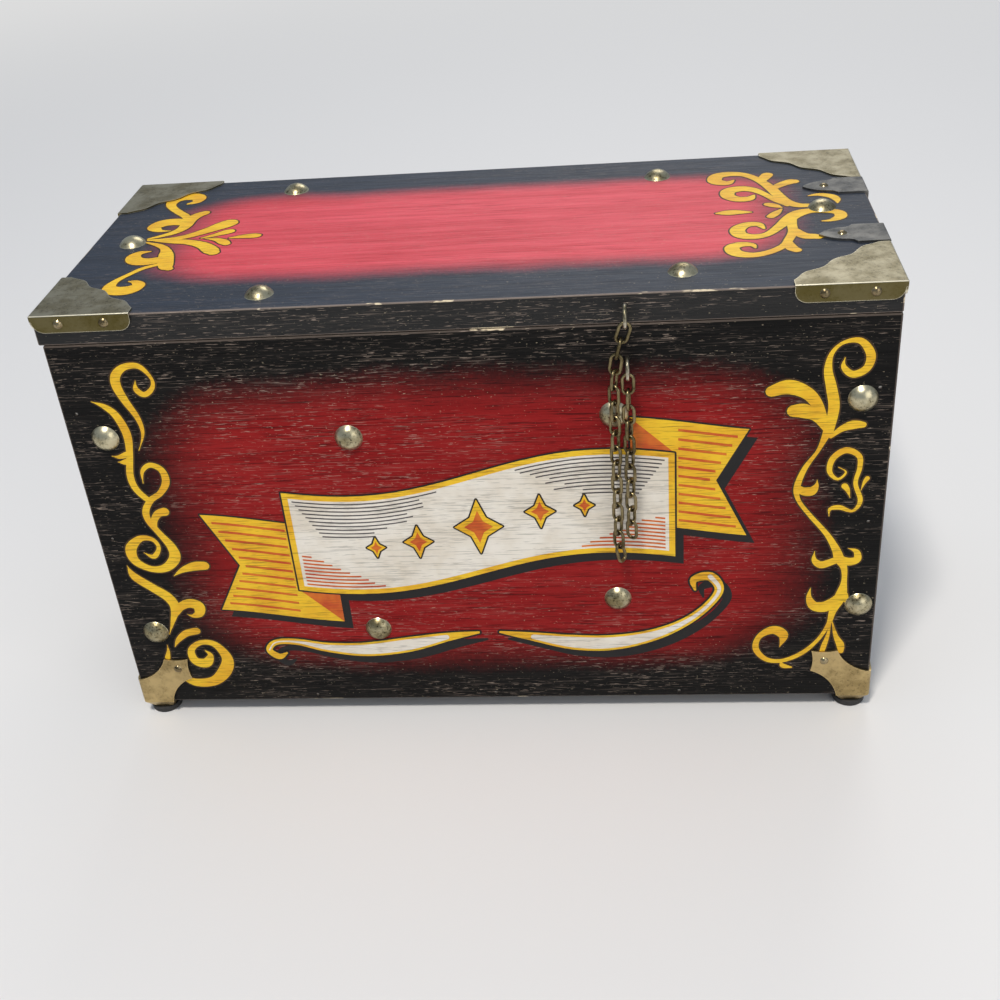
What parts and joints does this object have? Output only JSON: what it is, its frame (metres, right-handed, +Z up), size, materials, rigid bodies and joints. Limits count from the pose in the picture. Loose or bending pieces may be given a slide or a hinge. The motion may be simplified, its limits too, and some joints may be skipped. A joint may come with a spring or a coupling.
{
  "type": "shoe shine box",
  "caption": "Small painted wooden box on brass corner feet, its studded lid hinged at one end and held open by a chain.",
  "frame": {"origin": "on the floor, under the middle of the whole part's extent, with the lid closed", "axes": "+X along the box towards its hinged end, +Y from the front to the back, +Z up"},
  "size_m": [0.3497, 0.1669, 0.2144],
  "materials": {
    "front_paint": "hand-painted, black shading to deep red, worn to bare wood on the edges",
    "body_paint": "black paint over open grain",
    "bottom_wood": "bare sanded board",
    "lid_paint": "black paint over open grain with a red band along the middle",
    "brad_steel": "plain steel",
    "pad_rubber": "matt",
    "nail_brass": "aged",
    "foot_brass": "aged, dull",
    "cap_brass": "aged, dull",
    "stud_brass": "aged, brown",
    "pin_steel": "dull",
    "hinge_brass": "aged, dull",
    "eye_brass": "aged",
    "chain_brass": "aged"
  },
  "bodies": {
    "body": {"front_panel": "front_paint", "back_panel": "body_paint", "left_end_panel": "body_paint", "right_end_panel": "body_paint", "bottom_panel": "bottom_wood", "wall_brads": "brad_steel", "bottom_brads": "brad_steel", "front_studs": "stud_brass", "foot_front_left": "foot_brass", "foot_front_right": "foot_brass", "foot_back_left": "foot_brass", "foot_back_right": "foot_brass", "foot_pad_front_left": "pad_rubber", "foot_pad_front_right": "pad_rubber", "foot_pad_back_left": "pad_rubber", "foot_pad_back_right": "pad_rubber", "foot_nails": "nail_brass", "hinge_body_leaf_front": "hinge_brass", "hinge_body_leaf_rear": "hinge_brass", "hinge_pin_front": "pin_steel", "hinge_pin_rear": "pin_steel", "hinge_body_nails": "nail_brass", "body_eye": "eye_brass"},
    "lid": {"lid_board": "lid_paint", "lid_cap_front_left": "cap_brass", "lid_cap_front_right": "cap_brass", "lid_cap_back_left": "cap_brass", "lid_cap_back_right": "cap_brass", "lid_cap_nails": "nail_brass", "lid_studs": "stud_brass", "hinge_lid_leaf_front": "hinge_brass", "hinge_lid_leaf_rear": "hinge_brass", "hinge_lid_nails": "nail_brass", "lid_eye": "eye_brass"},
    "lid_strand": {"chain_lid_strand": "chain_brass"},
    "body_strand": {"chain_body_strand": "chain_brass"}
  },
  "joints": [
    {"name": "lid_hinge", "type": "hinge", "parent": "body", "child": "lid", "pos_m": [0.17325, 0.0053, 0.1981], "axis": [0, 1, 0], "range_deg": [0, 107.9]},
    {"name": "lid_strand_swing", "type": "hinge", "parent": "lid", "child": "lid_strand", "pos_m": [0.06525, -0.0784, 0.20035], "axis": [0, 1, 0], "range_deg": [-60.2, 0]},
    {"name": "body_strand_swing", "type": "hinge", "parent": "body", "child": "body_strand", "pos_m": [0.06575, -0.0784, 0.1783], "axis": [0, 1, 0], "range_deg": [-130.5, 0]}
  ],
  "couplings": [
    {"joint": "lid_strand_swing", "follows": "lid_hinge", "ratio": -0.5572},
    {"joint": "body_strand_swing", "follows": "lid_hinge", "ratio": -1.2091}
  ]
}
